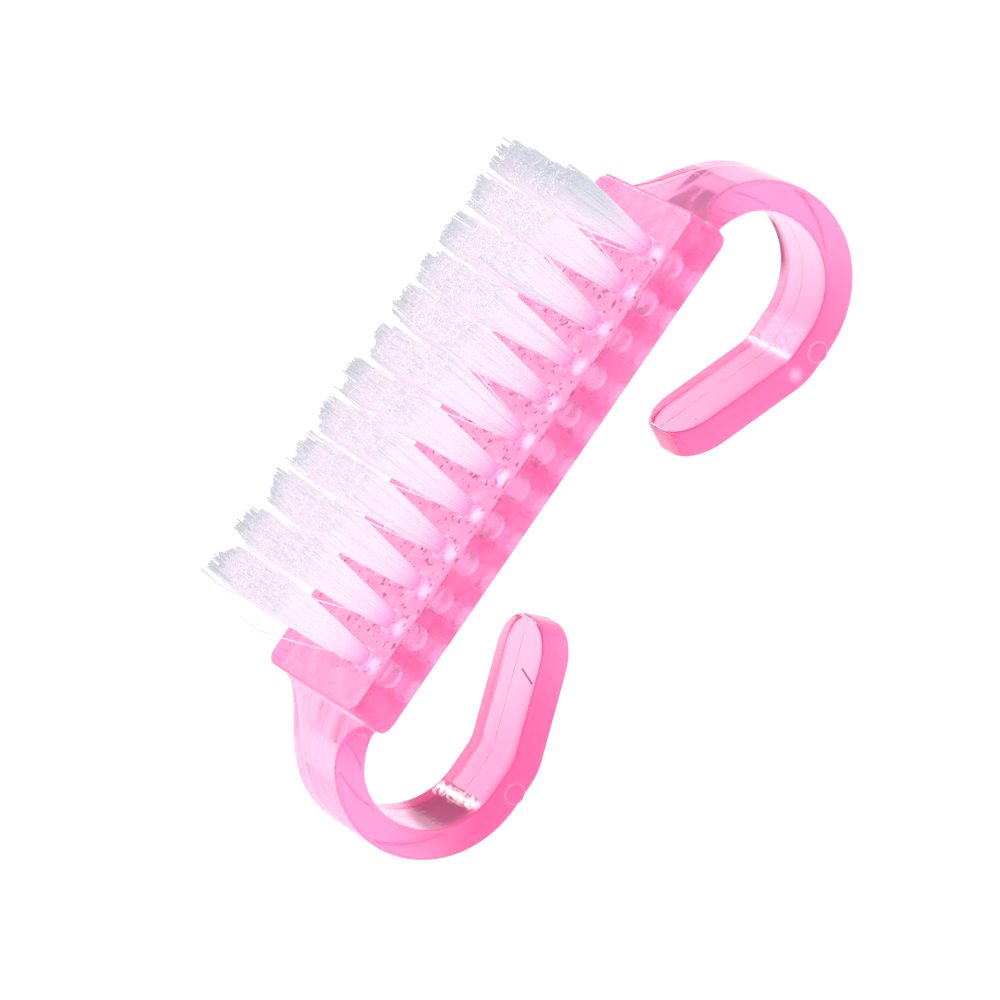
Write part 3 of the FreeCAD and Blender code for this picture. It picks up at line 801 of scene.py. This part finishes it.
def free_leg(draw, place, bundle, settings):
    """Points of one free end, from its cut tip down to the mouth of the hole."""
    x, y = place
    clump = min(bundle.clumps, key=lambda c: (c[0] - x) ** 2 + (c[1] - y) ** 2)
    clump_x, clump_y, drift_x, drift_y, lift = clump
    square = (math.hypot(x, y) / max(abs(x), abs(y))) ** SQUARENESS
    tip_x = (x + (clump_x - x) * CLUMP_PULL) * bundle.widen[0] * square + drift_x
    tip_x += draw.gauss(0, TIP_WANDER)
    tip_y = (y + (clump_y - y) * CLUMP_PULL) * bundle.widen[1] * square + drift_y
    tip_y += draw.gauss(0, TIP_WANDER)
    out = math.hypot(tip_x, tip_y) / settings.spread
    top = CUT_Z - FACE_Z - CUT_DROP + max(min(lift, HIGHEST_LIFT), LOWEST_LIFT)
    top += draw.gauss(0, CUT_WANDER)
    top += bundle.slope[0] * tip_x + bundle.slope[1] * tip_y
    top -= RIM_DROP * max(out - RIM_START_SHARE, 0) ** 2
    if draw.random() < SHORT_CHANCE:
        top -= draw.uniform(LEAST_SHORTER, MOST_SHORTER)
    if draw.random() < STRAY_CHANCE:
        tip_x += draw.gauss(0, STRAY_ALONG)
        tip_y += draw.gauss(0, STRAY_ACROSS)
    bow_x, bow_y = draw.gauss(0, BOW_WANDER), draw.gauss(0, BOW_WANDER)
    points = []
    for share, outward in zip(FREE_SHARES, SPREAD_SHARES):
        bow = math.sin(math.pi * share)
        points.append(Vector((
            x + (tip_x - x) * outward + bundle.lean[0] * share * share + bow_x * bow,
            y + (tip_y - y) * outward + bundle.lean[1] * share * share + bow_y * bow,
            FACE_Z + top * share,
        )))
    return points


FLOOR_RISE = 0.3 * MM
FOLD_RISE = 0.06 * MM
FOLD_WIDTH_SHARE, FOLD_DEPTH_SHARE, LOWEST_WIDTH_SHARE = 0.94, 0.6, 0.92


def fold_points(place, hole, filament):
    """Points of the fold under the anchor, from the far leg round to the near one."""
    x, y = place
    under = ANCHOR_LOW.z - filament
    low = FOOT_Z + filament + FLOOR_RISE * (x * x + y * y) / (hole * hole)
    side_x, side_y = x * FOLD_WIDTH_SHARE, y * FOLD_DEPTH_SHARE
    return [
        Vector((x, y, under)),
        Vector((side_x, side_y, low + FOLD_RISE)),
        Vector((x * LOWEST_WIDTH_SHARE, 0, low)),
        Vector((side_x, -side_y, low + FOLD_RISE)),
        Vector((x, -y, under)),
    ]


def bend_strand(strands, template, points, centre, radius, tone, layer):
    """Add one filament to a bundle: each ring of the straight tube is carried to its place on the path."""
    start = len(strands.verts)
    strands.from_mesh(template)
    strands.verts.ensure_lookup_table()
    rings = []
    for number, point in enumerate(points):
        along = (points[min(number + 1, len(points) - 1)] - points[max(number - 1, 0)]).normalized()
        side = Vector((1, 0, 0)) - along * along.x
        side.normalize()
        rings.append((point + centre, side * radius, along.cross(side) * radius))
    for vertex in strands.verts[start:]:
        place, side, across = rings[min(max(round(vertex.co.z), 0), len(rings) - 1)]
        vertex.co = place + side * vertex.co.x + across * vertex.co.y
        vertex[layer] = tone


def build_tuft(node, template, material, settings):
    """The folded filaments of one hole, round its anchor."""
    centre = hole_centre(node)
    draw = random.Random(f"{node} {settings.seed}")
    filament = settings.filament_radius
    hole = HOLE_RADIUS - filament
    half_gap = (ANCHOR_HIGH.y - ANCHOR_LOW.y) / 2 + filament
    bundle = draw_bundle(draw, centre, hole, settings)
    strands = bmesh.new()
    layer = strands.verts.layers.float.new(TONE_LAYER)
    for x, y in leg_places(draw, settings.folded_count, hole, half_gap, filament):
        far = free_leg(draw, (x, y), bundle, settings)
        near = free_leg(draw, (x, -y), bundle, settings)
        points = far + fold_points((x, y), hole, filament) + near[::-1]
        bend_strand(strands, template, points, centre, filament, draw.random(), layer)
    bmesh.ops.recalc_face_normals(strands, faces=strands.faces)
    piece = finish_piece(f"{node}_filaments", strands, material, node)
    piece.visible_diffuse = False
    piece.visible_shadow = False
    return piece


class BuildMoulding(bpy.types.Operator):
    """Dress the clear moulded body"""
    bl_idname = "nail_brush.build_moulding"
    bl_label = "Moulded body"

    def execute(self, context):
        smooth_moulding(context.scene.nail_brush_moulding)
        return {"FINISHED"}


class FinishAnchors(bpy.types.Operator):
    """Give the flat anchors their metal"""
    bl_idname = "nail_brush.finish_anchors"
    bl_label = "Anchors"

    def execute(self, context):
        metal = metal_material()
        for name in ANCHOR_NODES:
            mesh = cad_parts[name].data
            mesh.materials.clear()
            mesh.materials.append(metal)
        return {"FINISHED"}


class BuildTufts(bpy.types.Operator):
    """Build every bundle of folded nylon filaments"""
    bl_idname = "nail_brush.build_tufts"
    bl_label = "Tufts"

    def execute(self, context):
        settings = context.scene.nail_brush_tufts
        template = strand_template(2 * len(FREE_SHARES) + FOLD_POINTS)
        material = nylon_material()
        for node in TUFT_NODES:
            build_tuft(node, template, material, settings)
        bpy.data.meshes.remove(template)
        return {"FINISHED"}


class BuildStage(bpy.types.Operator):
    """Set up the floor, the soft light and the camera"""
    bl_idname = "nail_brush.build_stage"
    bl_label = "Studio"

    def execute(self, context):
        settings = context.scene.nail_brush_stage
        build_floor(settings)
        build_card()
        build_light(context.scene, settings)
        place_camera(context.scene)
        return {"FINISHED"}


FLOOR_DROP, FLOOR_SIDES = 0.02 * MM, 96
# Strength of the floor's glow, and its share where the camera sees the floor and where the plastic shows it.
FLOOR_GLOW, GLOW_SEEN_SHARE, GLOW_SHOWN_SHARE = 1.12, 0.85, 0.3


def build_floor(settings):
    """A white floor that glows towards the camera, so that the picture's ground is even."""
    disc = bmesh.new()
    bmesh.ops.create_circle(
        disc, cap_ends=True, segments=FLOOR_SIDES, radius=settings.floor_size,
        matrix=Matrix.Translation((0, 0, -FLOOR_DROP)),
    )
    new_object("studio_floor", disc, floor_material())


def floor_material():
    """White, lit by the room and by a glow of its own that only the camera and the plastic see."""
    material, shader, output = new_material("white_floor")
    floor = Surface(material)
    path = add_node(material, "ShaderNodeLightPath")
    shade = contact_shade(floor, path.outputs["Is Transmission Ray"])
    feed(material, shade, shader.inputs["Base Color"])
    shader.inputs["Roughness"].default_value = 1
    shader.inputs["Specular IOR Level"].default_value = 0
    glow = add_node(material, "ShaderNodeEmission", Strength=FLOOR_GLOW)
    feed(material, shade, glow.inputs["Color"])
    shown = floor.largest(path.outputs["Is Glossy Ray"], path.outputs["Is Transmission Ray"])
    shown = floor.product(shown, GLOW_SHOWN_SHARE)
    seen = floor.product(path.outputs["Is Camera Ray"], GLOW_SEEN_SHARE)
    look = mixed_shader(material, floor.largest(shown, seen), shader.outputs[0], glow.outputs[0])
    feed(material, look, output.inputs["Surface"])
    return material


# The painted shadow on the floor under the left hook, which only the plastic shows.
SHADE_CENTRE_X, SHADE_CENTRE_Y = -26.2 * MM, 4.0 * MM
SHADE_HALF_LENGTH, SHADE_HALF_WIDTH = 6.8 * MM, 6.4 * MM
SHADE_COLOUR = (0.28, 0.015, 0.07)
SHADE_STOPS = ((0.0, SHADE_COLOUR), (0.7, SHADE_COLOUR), (0.84, (0.6, 0.34, 0.52)), (1.0, (1, 1, 1)))
SHADE_LENGTH_FADE = (-24.7 * MM, -24.5 * MM)


def contact_shade(floor, seen_through):
    """Floor colour: white, with a painted crimson shadow under the left hook where plastic is looked
    through.
    """
    scale = (1 / SHADE_HALF_LENGTH, 1 / SHADE_HALF_WIDTH, 1)
    shift = (-SHADE_CENTRE_X / SHADE_HALF_LENGTH, -SHADE_CENTRE_Y / SHADE_HALF_WIDTH, 0)
    distance = add_node(floor.material, "ShaderNodeVectorMath", operation="LENGTH")
    feed(floor.material, floor.stretched(scale, shift), distance.inputs[0])
    under_hook = floor.ramp(distance.outputs["Value"], SHADE_STOPS)
    share = floor.product(seen_through, floor.fade(floor.x, SHADE_LENGTH_FADE))
    return floor.mixed_colour(share, (1, 1, 1), under_hook)


CARD_WIDTH, CARD_HEIGHT = 0.22, 0.25
CARD_AZIMUTH, CARD_ELEVATION, CARD_DISTANCE = 32.5, 13.0, 0.47
CARD_DARK, CARD_GREY = (0.04, 0.03, 0.05), (0.5, 0.45, 0.5)
CARD_FADE = (CARD_WIDTH / 2, -0.03)


def build_card():
    """A dark card low behind the brush, which shows only as a reflection in the curves of the hooks."""
    shape = bmesh.new()
    bmesh.ops.create_grid(shape, x_segments=1, y_segments=1, size=1)
    bmesh.ops.scale(shape, vec=(CARD_WIDTH / 2, CARD_HEIGHT / 2, 1), verts=shape.verts)
    card = new_object("studio_card", shape, card_material())
    face_brush(card, CARD_AZIMUTH, CARD_ELEVATION, CARD_DISTANCE)
    reflection_only(card)


def card_material():
    """Matt, dark at one side and grey at the other."""
    material, shader, _ = new_material("dark_card")
    card = Surface(material)
    colour = card.mixed_colour(card.fade(card.x, CARD_FADE), CARD_DARK, CARD_GREY)
    feed(material, colour, shader.inputs["Base Color"])
    shader.inputs["Roughness"].default_value = 1
    shader.inputs["Specular IOR Level"].default_value = 0
    return material


def face_brush(item, azimuth, elevation, distance):
    """Put a stage item behind the brush at angles seen from its middle, turned towards it."""
    turn, rise = math.radians(azimuth), math.radians(elevation)
    away = Vector((math.sin(turn) * math.cos(rise), math.cos(turn) * math.cos(rise), math.sin(rise)))
    item.location = away * distance
    item.rotation_euler = away.to_track_quat("Z", "Y").to_euler()


def reflection_only(item):
    """Hide a stage item from all but mirrored rays."""
    item.visible_camera = False
    item.visible_diffuse = False
    item.visible_transmission = False
    item.visible_shadow = False


STRIP_WIDTH, STRIP_HEIGHT = 0.045, 0.3
STRIP_AZIMUTH, STRIP_ELEVATION, STRIP_DISTANCE = 15.9, 28.0, 0.46


def add_strip_light(power):
    """A tall narrow lamp behind the brush that shows as a bright band where a hook bends."""
    light = bpy.data.lights.new("strip_light", "AREA")
    light.shape = "RECTANGLE"
    light.size = STRIP_WIDTH
    light.size_y = STRIP_HEIGHT
    light.energy = power
    lamp = bpy.data.objects.new("strip_light", light)
    bpy.context.scene.collection.objects.link(lamp)
    face_brush(lamp, STRIP_AZIMUTH, STRIP_ELEVATION, STRIP_DISTANCE)
    reflection_only(lamp)


ROOM_STRENGTH, SEEN_STRENGTH = 1.18, 1


def build_light(scene, settings):
    """A white room, plain white where the camera sees it, and the strip light."""
    world = bpy.data.worlds.new("white_room")
    scene.world = world
    world.use_nodes = True
    background = world.node_tree.nodes["Background"]
    background.inputs["Color"].default_value = (1, 1, 1, 1)
    background.inputs["Strength"].default_value = ROOM_STRENGTH
    seen = add_node(world, "ShaderNodeBackground", Strength=SEEN_STRENGTH)
    path = add_node(world, "ShaderNodeLightPath")
    room = mixed_shader(world, path.outputs["Is Camera Ray"], background.outputs[0], seen.outputs[0])
    feed(world, room, world.node_tree.nodes["World Output"].inputs["Surface"])
    add_strip_light(settings.strip_power)
    scene.cycles.max_bounces = 24
    scene.cycles.diffuse_bounces = 6
    scene.cycles.transmission_bounces = 24
    scene.cycles.transparent_max_bounces = 64
    scene.cycles.caustics_reflective = False
    scene.cycles.caustics_refractive = False


# The photograph's camera: where it stands, how it is turned, and how wide it sees.
CAMERA_PLACE = Vector((-39.31, -562.1, 347.0)) * MM
CAMERA_AZIMUTH, CAMERA_ELEVATION, CAMERA_ROLL = -3.6883, 30.4615, -53.6037
VIEW_ANGLE = math.radians(7.233)


def place_camera(scene):
    """Look down at the brush from its near side, rolled so that the bar rises to the right."""
    data = bpy.data.cameras.new("photo_camera")
    data.sensor_fit = "AUTO"
    data.lens_unit = "FOV"
    data.angle = VIEW_ANGLE
    data.clip_start = 0.01
    data.clip_end = 10
    camera = bpy.data.objects.new("photo_camera", data)
    scene.collection.objects.link(camera)
    turn = Matrix.Rotation(math.radians(CAMERA_AZIMUTH), 4, "Z")
    tilt = Matrix.Rotation(math.radians(90 - CAMERA_ELEVATION), 4, "X")
    roll = Matrix.Rotation(math.radians(CAMERA_ROLL), 4, "Z")
    camera.matrix_world = Matrix.Translation(CAMERA_PLACE) @ turn @ tilt @ roll
    scene.camera = camera
    scene.view_settings.view_transform = "Standard"


class NailBrushPanel(bpy.types.Panel):
    """Sizes, colours and building steps of the nail brush"""
    bl_idname = "VIEW3D_PT_nail_brush"
    bl_label = "Nail brush"
    bl_space_type = "VIEW_3D"
    bl_region_type = "UI"
    bl_category = "Nail brush"

    def draw(self, context):
        for name in GROUPS:
            group = getattr(context.scene, name)
            column = self.layout.column()
            for setting in group.__annotations__:
                column.prop(group, setting)
        for step in STEPS:
            self.layout.operator(step.bl_idname)


STEPS = (BuildMoulding, FinishAnchors, BuildTufts, BuildStage)
GROUPS = {
    "nail_brush_moulding": MouldingSettings,
    "nail_brush_tufts": TuftSettings,
    "nail_brush_stage": StageSettings,
}


def register():
    for item in (*GROUPS.values(), *STEPS, NailBrushPanel):
        bpy.utils.register_class(item)
    for name, group in GROUPS.items():
        setattr(bpy.types.Scene, name, bpy.props.PointerProperty(type=group))


def unregister():
    for name in GROUPS:
        delattr(bpy.types.Scene, name)
    for item in reversed((*GROUPS.values(), *STEPS, NailBrushPanel)):
        bpy.utils.unregister_class(item)


def main():
    register()
    bpy.ops.nail_brush.build_stage()
    bpy.ops.nail_brush.build_moulding()
    bpy.ops.nail_brush.finish_anchors()
    bpy.ops.nail_brush.build_tufts()


if __name__ == "__main__":
    main()
